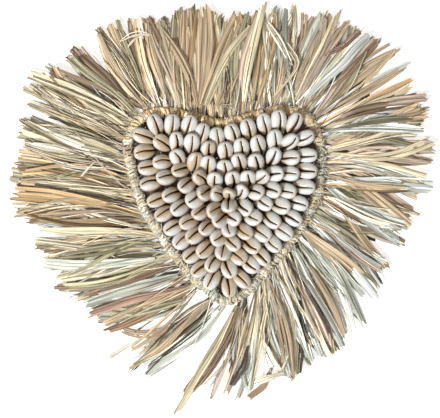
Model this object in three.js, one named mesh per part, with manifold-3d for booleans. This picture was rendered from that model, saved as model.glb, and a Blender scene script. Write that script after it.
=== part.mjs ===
// A heart of cowrie shells sewn to a backing, with a raffia cord round its edge and a raffia fringe.
// It lies on its back. Units are millimetres, +Z is up out of the shells and +Y is the heart's top.
import * as THREE from "three";
import { mergeVertices } from "three/addons/utils/BufferGeometryUtils.js";
import Module from "manifold-3d";

const wasm = await Module();
wasm.setup();

// Driving dimensions
const PANEL_THICKNESS = 4;
const RIM_RADIUS = 3.2;
const RIM_HEIGHT = 3.6;
const TOUCH_GAP = 0.35;

const SHELL_LENGTH = 17;
// A shell is this much wider than the room to the nearest places beside it, so that it presses on both
// neighbours. Round a corner, where they stand behind it, that room counts as at most their distance times
// the corner room.
const SHELL_SQUEEZE = 1.12;
const CORNER_ROOM = 1.16;
// Across a cowrie, as shares of half its width and depth: the mouth's groove, a lip, a side, the back.
const SHELL_SECTION = [[0, 0.45], [0.55, 0.95], [1, 0], [0, -1], [-1, 0], [-0.55, 0.95]];

const TUFT_COUNT = 39;
const BLADES_PER_TUFT = 3;
const BLADE_WIDTH = 6;
const BLADE_CROWDING = 0.8;
const BLADE_REACH = 0.97;
const BLADE_REACH_SPREAD = 0.04;
const BLADE_CUT = 0.04;
const BLADE_THICKNESS = 1;
const BLADE_CREASE = 0.8;
const TUFT_ROOT_HEIGHT = 4.6;
const TUFT_SPLIT = 0.42;
const TUFT_SPLIT_HEIGHT = 6.2;
const TUFT_TIP_HEIGHT = 3.4;
const TUFT_TIP_SPREAD = 1.6;

// Marks round the heart, clockwise from the cleft: a point on the border cord, and the place that the
// raffia knotted there reaches to.
const HEART_MARKS = [
  { rim: [-1.5, 65], tip: [4, 151] },
  { rim: [17, 67], tip: [27, 147.5] },
  { rim: [35, 71], tip: [51.5, 154.5] },
  { rim: [52.5, 73], tip: [82, 154.5] },
  { rim: [66, 69], tip: [110.5, 140] },
  { rim: [75.5, 59.5], tip: [144.5, 110] },
  { rim: [80, 45.5], tip: [166.5, 72] },
  { rim: [80.5, 32.5], tip: [170.5, 26.5] },
  { rim: [79, 17], tip: [159.5, -2] },
  { rim: [73.5, -3], tip: [138, -40] },
  { rim: [51.5, -34.5], tip: [91, -114.5] },
  { rim: [36.5, -50], tip: [64.5, -130] },
  { rim: [23, -64], tip: [23.5, -150] },
  { rim: [11.5, -73.5], tip: [-5.5, -147] },
  { rim: [0, -77], tip: [-44.5, -161] },
  { rim: [-10.5, -73], tip: [-73.5, -130.5] },
  { rim: [-33, -49], tip: [-122.5, -74.5] },
  { rim: [-54.5, -16], tip: [-153, -17] },
  { rim: [-64.5, 3], tip: [-166.5, 16] },
  { rim: [-73.5, 43], tip: [-157.5, 71.5] },
  { rim: [-72, 58], tip: [-149.5, 101] },
  { rim: [-64.5, 70], tip: [-122.5, 122.5] },
  { rim: [-52, 76], tip: [-91, 146] },
  { rim: [-37, 75.5], tip: [-52, 152.5] },
  { rim: [-19, 70], tip: [-21.5, 157.5] },
];

// The closed rows of shells, clockwise from the upper left, with the place of each shell's middle. The nearer
// a row is to the middle, the more its shells lean up.
const SHELL_ROWS = [
  {
    name: "shell_row_1",
    lean: 20,
    depth: 7,
    places: [
      [-50.5, 66], [-37.5, 65], [-24, 63.5], [-14.5, 56.5], [-2, 52.5], [10.5, 55], [23.5, 58.5], [36.5, 62],
      [48, 63.5], [60, 61.5], [67, 49], [68, 35.5], [67.5, 23], [65, 10.5], [59.5, -2], [54.5, -13.5],
      [46.5, -24], [37.5, -33], [28, -42.5], [19, -49], [11, -60], [1.5, -65.5], [-11.5, -59.5], [-20, -50.5],
      [-26, -39], [-33.5, -27], [-40, -16.5], [-46.5, -5], [-51.5, 6.5], [-56.5, 19.5], [-57, 32], [-60.5, 45],
      [-60, 57],
    ],
  },
  {
    name: "shell_row_2",
    lean: 34,
    depth: 7,
    places: [
      [-45.5, 51], [-34.5, 51], [-22.5, 49.5], [-10, 43], [4, 41.5], [17, 43.5], [30.5, 45], [44, 48.5],
      [55, 46.5], [55.5, 34], [54, 21.5], [51, 8], [45.5, -3.5], [38, -14.5], [29.5, -24.5], [20.5, -33.5],
      [10, -42], [2, -51], [-10, -46.5], [-15.5, -35], [-23, -23.5], [-27.5, -12.5], [-34, -1], [-40.5, 9.5],
      [-44, 23.5], [-46.5, 36],
    ],
  },
  {
    name: "shell_row_3",
    lean: 40,
    depth: 8,
    places: [
      [-34, 38.5], [-21, 34.5], [-10.5, 31], [3, 27.5], [14.5, 32], [28, 31], [42, 35.5], [42, 22],
      [39.5, 9.5], [32, -0.5], [23, -11.5], [15.5, -22.5], [5.5, -31], [-1.5, -37.5], [-4.5, -26.5], [-13, -18],
      [-18, -6], [-21.5, 5], [-28, 16.5], [-32, 29],
    ],
  },
  {
    name: "shell_row_4",
    lean: 50,
    depth: 8,
    places: [
      [-17, 21.5], [-5.5, 19], [9, 19], [21, 19], [31, 19.5], [26.5, 8], [17, -3.5], [7.5, -11.5],
      [3.5, -20], [-2.5, -12.5], [-7, -4.5], [-14, 9.5],
    ],
  },
];
// The shells in the middle: each one's place, the way that its outer end points, its lean and its width.
const CENTRE_DEPTH = 8.5;
const CENTRE_SHELLS = [
  { place: [-4, 8], heading: 150, lean: 66, width: 13 },
  { place: [5.5, 7.5], heading: 80, lean: 78, width: 12 },
  { place: [14.5, 8], heading: 50, lean: 66, width: 13 },
  { place: [4.5, -0.5], heading: -105, lean: 62, width: 12 },
];

const CURVE_DIVISIONS = 1200;
const PANEL_SIDES = 48;
const RIM_STEPS = 50;
const RIM_SIDES = 6;

const COLOURS = {
  panel: { color: 0x8f7a58, roughness: 0.9 },
  rim: { color: 0xc9ad7c, roughness: 0.8 },
  shell: { color: 0xefe6da, roughness: 0.35 },
  raffia: { color: 0xb89f73, roughness: 0.75 },
};

function material({ color, roughness }) {
  return new THREE.MeshStandardMaterial({ color, roughness, metalness: 0 });
}

function smoothLoop(points) {
  const corners = points.map(([x, y]) => new THREE.Vector3(x, y, 0));
  const loop = new THREE.CatmullRomCurve3(corners, true, "catmullrom", 0.5);
  loop.arcLengthDivisions = CURVE_DIVISIONS;
  return loop;
}

// A place on a loop that runs clockwise, with the direction along it and the direction out of it.
function placeOn(loop, t) {
  const along = loop.getTangent(t).normalize();
  return { point: loop.getPoint(t), along, out: new THREE.Vector3(-along.y, along.x, 0) };
}

// The loop's own parameter at a share of its length.
function parameterAt(loop, share) {
  return loop.getUtoTmapping(THREE.MathUtils.euclideanModulo(share, 1));
}

const rimLoop = smoothLoop(HEART_MARKS.map((mark) => mark.rim));
const tipLoop = smoothLoop(HEART_MARKS.map((mark) => mark.tip));

function asSolid(geometry) {
  const plain = geometry.clone();
  for (const name of Object.keys(plain.attributes)) {
    if (name !== "position") plain.deleteAttribute(name);
  }
  const merged = mergeVertices(plain, 1e-4);
  return new wasm.Manifold(new wasm.Mesh({
    numProp: 3,
    vertProperties: new Float32Array(merged.attributes.position.array),
    triVerts: new Uint32Array(merged.index.array),
  }));
}

function asGeometry(solid) {
  const mesh = solid.getMesh();
  const geometry = new THREE.BufferGeometry();
  geometry.setAttribute("position", new THREE.BufferAttribute(mesh.vertProperties, 3));
  geometry.setIndex(new THREE.BufferAttribute(mesh.triVerts, 1));
  geometry.computeVertexNormals();
  return geometry;
}

// The backing: a flat heart that ends just inside the border cord.
function backingPanel() {
  const outline = new THREE.Shape();
  for (let i = 0; i < PANEL_SIDES; i++) {
    const { point, out } = placeOn(rimLoop, parameterAt(rimLoop, i / PANEL_SIDES));
    const edge = point.addScaledVector(out, -(RIM_RADIUS + 2 * TOUCH_GAP));
    if (i === 0) outline.moveTo(edge.x, edge.y);
    else outline.lineTo(edge.x, edge.y);
  }
  outline.closePath();
  return new THREE.ExtrudeGeometry(outline, { depth: PANEL_THICKNESS, bevelEnabled: false });
}

// The border cord: a torus with its vertices moved onto the heart's outline.
function rimCord() {
  const ring = new THREE.TorusGeometry(1, RIM_RADIUS, RIM_SIDES, RIM_STEPS);
  const vertices = ring.attributes.position;
  for (let side = 0; side <= RIM_SIDES; side++) {
    for (let step = 0; step <= RIM_STEPS; step++) {
      const { point, out } = placeOn(rimLoop, parameterAt(rimLoop, -step / RIM_STEPS));
      const turn = (side / RIM_SIDES) * 2 * Math.PI;
      point.addScaledVector(out, RIM_RADIUS * Math.cos(turn));
      point.z = RIM_HEIGHT + RIM_RADIUS * Math.sin(turn);
      vertices.setXYZ(side * (RIM_STEPS + 1) + step, point.x, point.y, point.z);
    }
  }
  return ring;
}

// One cowrie about its own middle: blunt end along +Y, mouth up along +Z as a groove from end to end.
function cowrie(width, depth) {
  const sides = SHELL_SECTION.length;
  const shell = new THREE.SphereGeometry(1, sides, 4);
  const vertices = shell.attributes.position;
  for (let i = 0; i < vertices.count; i++) {
    const lengthwise = vertices.getY(i);
    const fullness = Math.sqrt(Math.max(0, 1 - lengthwise ** 2));
    const swell = fullness * (1 + 0.12 * lengthwise);
    const [across, up] = SHELL_SECTION[(i % (sides + 1)) % sides];
    vertices.setXYZ(
      i,
      (across * swell * width) / 2,
      (lengthwise * SHELL_LENGTH) / 2,
      (up * fullness * depth) / 2,
    );
  }
  return asSolid(shell);
}

// Puts a cowrie at a place on a row: blunt end outwards and raised by its lean, foot on the backing.
function seatedShell({ point, along, out }, width, depth, lean) {
  const rise = THREE.MathUtils.degToRad(lean);
  const axis = out.clone().multiplyScalar(Math.cos(rise)).setZ(Math.sin(rise));
  const mouth = new THREE.Vector3().crossVectors(along, axis);
  const reachDown = Math.hypot(SHELL_LENGTH * Math.sin(rise), depth * Math.cos(rise)) / 2;
  const seat = point.clone().setZ(PANEL_THICKNESS + TOUCH_GAP + reachDown);
  const pose = new THREE.Matrix4().makeBasis(along, axis, mouth).setPosition(seat);
  return cowrie(width, depth).transform(pose.elements);
}

// Seats the shells of a closed row, each turned in line with its two neighbours and wide enough to
// press on both.
function rowShells(points, depth, lean) {
  return points.map((point, i) => {
    const before = points.at(i - 1);
    const after = points[(i + 1) % points.length];
    const along = after.clone().sub(before).normalize();
    const out = new THREE.Vector3(-along.y, along.x, 0);
    const widths = [before, after].map((neighbour) => {
      const away = neighbour.clone().sub(point);
      const reach = away.length();
      return Math.min(reach ** 2 / Math.abs(away.dot(along)), CORNER_ROOM * reach);
    });
    return seatedShell({ point, along, out }, SHELL_SQUEEZE * Math.max(...widths), depth, lean);
  });
}

function fused(solids) {
  return asGeometry(solids.reduce((whole, solid) => whole.add(solid)));
}

function shellRow({ places, depth, lean }) {
  return fused(rowShells(places.map((place) => new THREE.Vector3(...place, 0)), depth, lean));
}

function shellCentre() {
  return fused(CENTRE_SHELLS.map(({ place, heading, lean, width }) => {
    const turn = THREE.MathUtils.degToRad(heading);
    const out = new THREE.Vector3(Math.cos(turn), Math.sin(turn), 0);
    const along = new THREE.Vector3(out.y, -out.x, 0);
    return seatedShell({ point: new THREE.Vector3(...place, 0), along, out }, width, CENTRE_DEPTH, lean);
  }));
}

// A repeatable number from -1 to 1 for a tuft's blade.
function vary(tuft, blade) {
  return Math.sin(12.9898 * tuft + 78.233 * blade);
}

// Gives a sheet of quads a thickness: the same quads below, facing down, and a wall at every open edge.
function thickSheet(points, quads, thickness) {
  const count = points.length;
  const positions = [...points, ...points.map((p) => p.clone().setZ(p.z - thickness))];
  const index = [];
  const edges = new Map();
  for (const quad of quads) {
    const [a, b, c, d] = quad;
    index.push(a, b, c, a, c, d);
    index.push(a + count, c + count, b + count, a + count, d + count, c + count);
    quad.forEach((from, i) => {
      const to = quad[(i + 1) % 4];
      if (edges.has(`${to},${from}`)) edges.delete(`${to},${from}`);
      else edges.set(`${from},${to}`, [from, to]);
    });
  }
  for (const [from, to] of edges.values()) {
    index.push(from, from + count, to + count, from, to + count, to);
  }
  const geometry = new THREE.BufferGeometry();
  geometry.setAttribute("position", new THREE.Float32BufferAttribute(positions.flatMap((p) => p.toArray()), 3));
  geometry.setIndex(index);
  geometry.computeVertexNormals();
  return geometry;
}

function tipAt(share) {
  return tipLoop.getPoint(parameterAt(rimLoop, share));
}

// One bunch of raffia: a pleated sheet out of the border cord that parts into creased blades.
function raffiaTuft(tuft) {
  const points = [];
  const quads = [];
  const rootReach = RIM_RADIUS + 2 * TOUCH_GAP;

  // A point of the fringe, from the border cord (0) to the tips (1).
  const at = (share, outward, height, sideways = 0) => {
    const root = placeOn(rimLoop, parameterAt(rimLoop, share));
    const from = root.point.addScaledVector(root.out, rootReach);
    const run = tipAt(share).sub(from);
    const across = new THREE.Vector3(run.y, -run.x, 0).normalize();
    const place = from.addScaledVector(run, outward).addScaledVector(across, sideways);
    return points.push(place.setZ(height)) - 1;
  };

  const margin = TOUCH_GAP / rimLoop.getLength();
  const first = tuft / TUFT_COUNT + margin;
  const bladeShare = (1 / TUFT_COUNT - 2 * margin) / BLADES_PER_TUFT;
  const edgeAt = (k) => first + k * bladeShare;
  const rootEdges = [];
  const splitEdges = [];
  for (let k = 0; k <= BLADES_PER_TUFT; k++) {
    rootEdges.push(at(edgeAt(k), 0, TUFT_ROOT_HEIGHT));
    splitEdges.push(at(edgeAt(k), TUFT_SPLIT, TUFT_SPLIT_HEIGHT));
  }
  for (let k = 0; k < BLADES_PER_TUFT; k++) {
    const middle = edgeAt(k + 0.5);
    const reach = BLADE_REACH + BLADE_REACH_SPREAD * vary(tuft, k);
    const tipHeight = TUFT_TIP_HEIGHT + TUFT_TIP_SPREAD * vary(tuft, k + BLADES_PER_TUFT);
    const rootCrease = at(middle, 0, TUFT_ROOT_HEIGHT + BLADE_CREASE);
    const splitCrease = at(middle, TUFT_SPLIT, TUFT_SPLIT_HEIGHT + BLADE_CREASE);
    const room = tipAt(edgeAt(k)).distanceTo(tipAt(edgeAt(k + 1)));
    const halfBlade = Math.min(BLADE_WIDTH, BLADE_CROWDING * room) / 2;
    const tipLeft = at(middle, reach - BLADE_CUT, tipHeight, -halfBlade);
    const tipCrease = at(middle, reach, tipHeight + BLADE_CREASE);
    const tipRight = at(middle, reach - BLADE_CUT / 2, tipHeight, halfBlade);
    quads.push([rootEdges[k], rootCrease, splitCrease, splitEdges[k]]);
    quads.push([rootCrease, rootEdges[k + 1], splitEdges[k + 1], splitCrease]);
    quads.push([splitEdges[k], splitCrease, tipCrease, tipLeft]);
    quads.push([splitCrease, splitEdges[k + 1], tipRight, tipCrease]);
  }
  return thickSheet(points, quads, BLADE_THICKNESS);
}

const heart = new THREE.Group();

function add(name, geometry, colour) {
  const mesh = new THREE.Mesh(geometry, material(colour));
  mesh.name = name;
  heart.add(mesh);
}

add("backing_panel", backingPanel(), COLOURS.panel);
add("rim_cord", rimCord(), COLOURS.rim);
for (const row of SHELL_ROWS) add(row.name, shellRow(row), COLOURS.shell);
add("shell_centre", shellCentre(), COLOURS.shell);
for (let tuft = 0; tuft < TUFT_COUNT; tuft++) {
  add(`raffia_tuft_${String(tuft + 1).padStart(2, "0")}`, raffiaTuft(tuft), COLOURS.raffia);
}

// The origin goes to the middle of the underside.
const box = new THREE.Box3().setFromObject(heart);
const middle = box.getCenter(new THREE.Vector3());
heart.position.set(-middle.x, -middle.y, -box.min.z);

export default heart;
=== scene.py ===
"""A heart of cowrie shells with a raffia border and fringe, lying on its back on a white floor."""
import math

import bpy
import numpy as np
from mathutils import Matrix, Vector


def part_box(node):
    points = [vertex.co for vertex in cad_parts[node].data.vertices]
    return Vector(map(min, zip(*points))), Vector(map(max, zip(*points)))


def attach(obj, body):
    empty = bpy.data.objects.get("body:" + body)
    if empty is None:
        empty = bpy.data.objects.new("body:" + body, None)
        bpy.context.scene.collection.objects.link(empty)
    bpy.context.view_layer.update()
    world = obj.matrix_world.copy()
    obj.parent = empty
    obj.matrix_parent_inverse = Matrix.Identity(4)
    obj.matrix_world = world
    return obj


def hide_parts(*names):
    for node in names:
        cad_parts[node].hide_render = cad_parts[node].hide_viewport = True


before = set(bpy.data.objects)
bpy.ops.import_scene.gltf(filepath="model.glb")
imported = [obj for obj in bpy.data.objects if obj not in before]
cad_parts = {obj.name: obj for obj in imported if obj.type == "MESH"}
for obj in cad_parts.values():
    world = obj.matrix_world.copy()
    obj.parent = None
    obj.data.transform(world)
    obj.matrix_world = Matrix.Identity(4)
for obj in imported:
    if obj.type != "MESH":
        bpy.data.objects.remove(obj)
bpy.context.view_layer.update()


# The plan of the heart, which every piece follows. The first pair of each mark is on the border, and the
# second is where the raffia knotted there reaches to. They run clockwise from the cleft at the top.
MM = 0.001
HEART_MARKS = MM * np.array([
    [-1.5, 65, 4, 151], [17, 67, 27, 147.5], [35, 71, 51.5, 154.5], [52.5, 73, 82, 154.5],
    [66, 69, 110.5, 140], [75.5, 59.5, 144.5, 110], [80, 45.5, 166.5, 72], [80.5, 32.5, 170.5, 26.5],
    [79, 17, 159.5, -2], [73.5, -3, 138, -40], [51.5, -34.5, 91, -114.5], [36.5, -50, 64.5, -130],
    [23, -64, 23.5, -150], [11.5, -73.5, -5.5, -147], [0, -77, -44.5, -161],
    [-10.5, -73, -73.5, -130.5], [-33, -49, -122.5, -74.5], [-54.5, -16, -153, -17],
    [-64.5, 3, -166.5, 16], [-73.5, 43, -157.5, 71.5], [-72, 58, -149.5, 101],
    [-64.5, 70, -122.5, 122.5], [-52, 76, -91, 146], [-37, 75.5, -52, 152.5], [-19, 70, -21.5, 157.5],
])
PANEL_THICKNESS = 4 * MM
RIM_RADIUS = 3.2 * MM
RIM_HEIGHT = 3.6 * MM
TOUCH_GAP = 0.35 * MM
STEPS_PER_MARK = 48
EDGE_STEPS = 48


def smooth_loop(marks):
    """A closed curve through marks. Between p1 and p2, at a share t of the way, it is p1 plus half of
    (p2 - p0) t + (2 p0 - 5 p1 + 4 p2 - p3) t^2 + (3 (p1 - p2) + p3 - p0) t^3."""
    t = np.arange(STEPS_PER_MARK)[:, None] / STEPS_PER_MARK
    p0, p1, p2, p3 = (np.roll(marks, shift, axis=0)[:, None] for shift in (1, 0, -1, -2))
    curve = p1 + t / 2 * (p2 - p0 + t * (2 * p0 - 5 * p1 + 4 * p2 - p3 + t * (3 * (p1 - p2) + p3 - p0)))
    return curve.reshape(-1, marks.shape[1])


def on_loop(loop, shares, measured=None):
    """The points at these shares of the length of a closed loop, or of the measured loop beside it."""
    beside = loop if measured is None else measured
    steps = np.linalg.norm(np.roll(beside, -1, axis=0) - beside, axis=1)
    lengths = np.concatenate([[0], np.cumsum(steps)])
    closed = np.vstack([loop, loop[:1]])
    where = np.mod(shares, 1) * lengths[-1]
    return np.stack([np.interp(where, lengths, closed[:, axis]) for axis in range(loop.shape[1])], axis=-1)


def unit(vectors):
    """Vectors divided by their lengths."""
    return vectors / np.linalg.norm(vectors, axis=-1, keepdims=True)


def outward(loop, shares, reach=0.002):
    """The unit direction out of a clockwise loop: its direction along, turned a quarter to the left."""
    along = unit(on_loop(loop, shares + reach) - on_loop(loop, shares - reach))
    return np.stack([-along[..., 1], along[..., 0]], axis=-1)


def at_height(places, height):
    """Flat places given a height as their third number."""
    return np.concatenate([places, np.broadcast_to(height, places.shape[:-1])[..., None]], axis=-1)


# The plan is moved so that its panel lies on the CAD panel.
rim_plan = smooth_loop(HEART_MARKS[:, :2])
edge_shares = np.arange(EDGE_STEPS) / EDGE_STEPS
panel_edge = on_loop(rim_plan, edge_shares) - (RIM_RADIUS + 2 * TOUCH_GAP) * outward(rim_plan, edge_shares)
panel_low, panel_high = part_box("backing_panel")
PLAN_SHIFT = np.array((panel_low + panel_high) / 2)[:2] - (panel_edge.min(0) + panel_edge.max(0)) / 2
HEART_MARKS += np.tile(PLAN_SHIFT, 2)
rim_loop = smooth_loop(HEART_MARKS[:, :2])
tip_loop = smooth_loop(HEART_MARKS[:, 2:])
RIM_LENGTH = np.linalg.norm(np.roll(rim_loop, -1, axis=0) - rim_loop, axis=1).sum()


# The view: straight down on the heart from far off, which lies turned three degrees in the picture.
PICTURE_MIDDLE = MM * np.array([-2.6, -3.9]) + PLAN_SHIFT
PICTURE_WIDTH = 352 * MM
PICTURE_PLANE = 6 * MM
VIEW_DISTANCE = 1.6
VIEW_TURN = math.radians(-3)
PICTURE_PIXELS = np.array([440, 418])


def turned(flat, angles):
    """Flat places or directions turned counter-clockwise: cos x - sin y and sin x + cos y."""
    c, s = np.cos(angles), np.sin(angles)
    x, y = flat[:, 0], flat[:, 1]
    return np.stack([c * x - s * y, s * x + c * y], axis=-1)


def from_picture(places):
    """Flat places in the plan from places in the picture, in pixels from its upper left: from its middle, at
    the picture's scale, turned by VIEW_TURN."""
    across = (np.array(places) - PICTURE_PIXELS / 2) * [1, -1] * PICTURE_WIDTH / PICTURE_PIXELS[0]
    return PICTURE_MIDDLE + turned(across, VIEW_TURN)


camera_data = bpy.data.cameras.new("view")
camera_data.sensor_width = 36
camera_data.lens = camera_data.sensor_width * VIEW_DISTANCE / PICTURE_WIDTH
camera = bpy.data.objects.new("view", camera_data)
camera.location = (*PICTURE_MIDDLE, PICTURE_PLANE + VIEW_DISTANCE)
camera.rotation_euler = (0, 0, VIEW_TURN)
bpy.context.scene.collection.objects.link(camera)
bpy.context.scene.camera = camera


# The backing: a mat of dark brown fibre strips, plaited over and under on the slant and cut to the heart.
# Its dark brown is partly its own colour and partly painted shade for the gaps between the shells. The
# shells are sewn to it, so it shows only in the gaps between them and from below.
STRIP_WIDTH = 5.2 * MM
STRIP_PITCH = 5.8 * MM
STRIP_THICKNESS = 0.9 * MM
PLAIT_LIFT = 0.75 * MM
PLAIT_MIDDLE = 2.0 * MM
PLAIT_TURN = math.radians(42)
PLAIT_LANES = 18
STEPS_PER_CROSSING = 6
SHORTEST_STRIP = 3
# A strip's section: points across it and up, in halves of its width and of its thickness.
STRIP_SECTION = np.array([[-1, 0], [-0.7, 1], [0.7, 1], [1, 0], [0.7, -1], [-0.7, -1]])
MAT_EDGE_STEPS = 160
MAT_MARGIN = 1.6 * MM
MAT_BROWN = (0.075, 0.048, 0.030, 1)
MAT_TAN = (0.19, 0.125, 0.075, 1)
UP = np.array([0, 0, 1])
# How a piece keeps its marks, by how many numbers a mark has.
MARK_KINDS = {1: ("FLOAT", "value"), 3: ("FLOAT_VECTOR", "vector"), 4: ("FLOAT_COLOR", "color")}


class Value:
    """A number on a shader socket. Each operator adds the Math node that works it out."""

    def __init__(self, finish, socket):
        self.finish = finish
        self.socket = socket

    def math(self, operation, first, second):
        return self.finish.node("ShaderNodeMath", {0: first, 1: second}, operation=operation)

    def __add__(self, other):
        return self.math("ADD", self, other)

    def __sub__(self, other):
        return self.math("SUBTRACT", self, other)

    def __rsub__(self, other):
        return self.math("SUBTRACT", other, self)

    def __mul__(self, other):
        return self.math("MULTIPLY", self, other)

    def __pow__(self, other):
        return self.math("POWER", self, other)

    __radd__ = __add__
    __rmul__ = __mul__


class Finish:
    """A material. One method adds any node, from its type, its sockets' values or links and its settings."""

    def __init__(self, name):
        self.material = bpy.data.materials.new(name)
        self.material.use_nodes = True
        self.tree = self.material.node_tree
        self.tree.nodes.clear()

    def node(self, kind, sockets=None, output=0, **settings):
        made = self.tree.nodes.new(kind)
        for name, value in settings.items():
            setattr(made, name, value)
        for name, value in (sockets or {}).items():
            if isinstance(value, Value):
                self.tree.links.new(value.socket, made.inputs[name])
            else:
                made.inputs[name].default_value = value
        return Value(self, made.outputs[output]) if made.outputs else None

    def mark(self, name, output="Fac"):
        """What a piece's own attribute of this name holds."""
        return self.node("ShaderNodeAttribute", output=output, attribute_name=name)

    def noise(self, place, scale, detail=2.0):
        """A number from 0 to 1 that wanders over the place given."""
        return self.node("ShaderNodeTexNoise", {"Vector": place, "Scale": scale, "Detail": detail})

    def range(self, value, low, high, out_low=0.0, out_high=1.0):
        """value between low and high, eased to between out_low and out_high."""
        sockets = {"Value": value, 1: low, 2: high, 3: out_low, 4: out_high}
        return self.node("ShaderNodeMapRange", sockets, interpolation_type="SMOOTHSTEP")

    def mix(self, share, first, second, blend="MIX"):
        """One colour over another."""
        sockets = {0: share, 6: first, 7: second}
        return self.node("ShaderNodeMix", sockets, output=2, data_type="RGBA", blend_type=blend)

    def bump(self, height, strength, depth):
        """A normal from a height between 0 and 1."""
        return self.node("ShaderNodeBump", {"Height": height, "Strength": strength, "Distance": depth})

    def surface(self, **sockets):
        """The surface itself. Its sockets' names are given with _ for a space."""
        named = {name.replace("_", " "): value for name, value in sockets.items()}
        shader = self.node("ShaderNodeBsdfPrincipled", named)
        self.node("ShaderNodeOutputMaterial", {"Surface": shader})
        return self.material


def tube_faces(tubes, rings, around, start):
    """Faces of closed tubes whose points are numbered ring by ring and then the two ends. A wall is a quad
    from a point to the next one round and on to the next ring, and a fan of triangles closes each end."""
    ring, point = np.meshgrid(np.arange(rings - 1), np.arange(around), indexing="ij")
    here = ring * around + point
    beside = ring * around + (point + 1) % around
    walls = np.stack([here, beside, beside + around, here + around], axis=-1).reshape(-1, 4)
    lip = np.arange(around)
    after = (lip + 1) % around
    last = (rings - 1) * around
    first_fan = np.stack([after, lip, np.full(around, rings * around)], axis=-1)
    last_fan = np.stack([last + lip, last + after, np.full(around, rings * around + 1)], axis=-1)
    fans = np.concatenate([first_fan, last_fan])
    offsets = start + np.arange(tubes)[:, None, None] * (rings * around + 2)
    return (walls + offsets).reshape(-1, 4).tolist() + (fans + offsets).reshape(-1, 3).tolist()


def with_ends(values):
    """Values by tube, ring and point, in one list per tube, with the means of its first and last ring."""
    flat = values.reshape(values.shape[0], -1, *values.shape[3:])
    return np.concatenate([flat, values[:, [0, -1]].mean(axis=2)], axis=1)


def make_piece(name, families, material, nodes, smooth=True):
    """A piece made of families of closed tubes. A family is its points, by tube, ring and point round the
    ring, counter-clockwise about the way it runs, and the marks that the material reads at each of them."""
    vertices = []
    faces = []
    marks = {}
    start = 0
    for points, values in families:
        tubes, rings, around = points.shape[:3]
        faces += tube_faces(tubes, rings, around, start)
        start += tubes * (rings * around + 2)
        vertices.append(with_ends(points).reshape(-1, 3))
        for key, value in values.items():
            whole = np.broadcast_to(value, (tubes, rings, around, *np.shape(value)[3:]))
            marks.setdefault(key, []).append(with_ends(whole).reshape(len(vertices[-1]), -1))
    mesh = bpy.data.meshes.new(name)
    mesh.from_pydata(np.concatenate(vertices), [], faces)
    mesh.polygons.foreach_set("use_smooth", np.full(len(mesh.polygons), smooth))
    for key, parts in marks.items():
        whole = np.concatenate(parts)
        kind, field = MARK_KINDS[whole.shape[1]]
        attribute = mesh.attributes.new(key, kind, "POINT")
        attribute.data.foreach_set(field, whole.astype(np.float32).ravel())
    mesh.materials.append(material)
    piece = bpy.data.objects.new(name, mesh)
    bpy.context.scene.collection.objects.link(piece)
    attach(piece, "root")
    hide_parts(*nodes)
    return piece


def inside(places, loop):
    """Whether each place is in a closed loop: a line from it to the right crosses the loop an odd number of
    times."""
    x, y = places[..., 0, None], places[..., 1, None]
    x1, y1 = loop[:, 0], loop[:, 1]
    x2, y2 = np.roll(x1, -1), np.roll(y1, -1)
    spans = (y1 > y) != (y2 > y)
    crossing = x1 + (y - y1) * (x2 - x1) / np.where(y2 == y1, 1, y2 - y1)
    return (spans & (x < crossing)).sum(axis=-1) % 2 == 1


def mat_finish():
    """Coarse dark fibre, its brown partly painted shade for the gaps between the shells: brown that strays
    to tan along each strip, with ridges along it.
    """
    finish = Finish("plaited fibre")
    grain = finish.mark("grain", "Vector")
    ridges = finish.noise(grain, 1.4, 3)
    shade = finish.range(ridges, 0.35, 0.75)
    colour = finish.mix(shade * 0.7, MAT_BROWN, MAT_TAN)
    return finish.surface(
        Base_Color=colour, Roughness=0.85, Normal=finish.bump(ridges, 0.6, 0.3 * MM))


def fibre_grain(across, along, number):
    """Where a strip's noise is read, so that it makes lines along it: quickly across the strip, slowly along
    it, and somewhere else for each strip's number."""
    return np.stack(np.broadcast_arrays(across, along, number), axis=-1)


def plaited_strips(way, mat_edge):
    """One way's strips. A strip is a flat band with its middle at the height PLAIT_MIDDLE plus or minus
    PLAIT_LIFT times the cosine of its way along, so that it goes over and under those of the other way."""
    turn = PLAIT_TURN + way * math.pi / 2
    ahead = np.array([math.cos(turn), math.sin(turn)])
    aside = np.array([-ahead[1], ahead[0]])
    middle = (mat_edge.min(0) + mat_edge.max(0)) / 2
    ring = (STRIP_SECTION[:, :1] * (at_height(aside, 0) * STRIP_WIDTH / -2)
            + STRIP_SECTION[:, 1:] * (UP * STRIP_THICKNESS / 2))
    last_step = PLAIT_LANES * STEPS_PER_CROSSING
    steps = np.arange(-last_step, last_step + 1) / STEPS_PER_CROSSING
    families = []
    for lane in range(-PLAIT_LANES, PLAIT_LANES + 1):
        places = middle + (lane * aside + steps[:, None] * ahead) * STRIP_PITCH
        held = np.flatnonzero(np.diff(np.concatenate([[0], inside(places, mat_edge), [0]])))
        for first, last in held.reshape(-1, 2):
            if last - first > SHORTEST_STRIP:
                along = steps[first:last]
                lift = PLAIT_LIFT * np.cos(math.pi * (along + lane + way))
                path = at_height(places[first:last], PLAIT_MIDDLE + lift)
                grain = fibre_grain(STRIP_SECTION[:, 0] * 2.5, along[:, None] * 0.4, lane * 3.7 + way)
                families.append(((path[:, None] + ring)[None], {"grain": grain[None]}))
    return families


mat_shares = np.arange(MAT_EDGE_STEPS) / MAT_EDGE_STEPS
mat_edge = on_loop(rim_loop, mat_shares) - MAT_MARGIN * outward(rim_loop, mat_shares)
make_piece("plaited_mat", plaited_strips(0, mat_edge) + plaited_strips(1, mat_edge), mat_finish(),
           ["backing_panel"])


# The border: raffia wound tightly round a core along the edge of the mat. It holds the fringe, whose
# strands come out from under its turns. It is golden at the top and paler and greener down the sides, and
# its golden turns are painted lighter, painted light that offsets the shade the shells cast on its top.
CORE_RADIUS = 3.1 * MM
CORE_STEPS = 240
CORE_POINTS = 8
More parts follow.
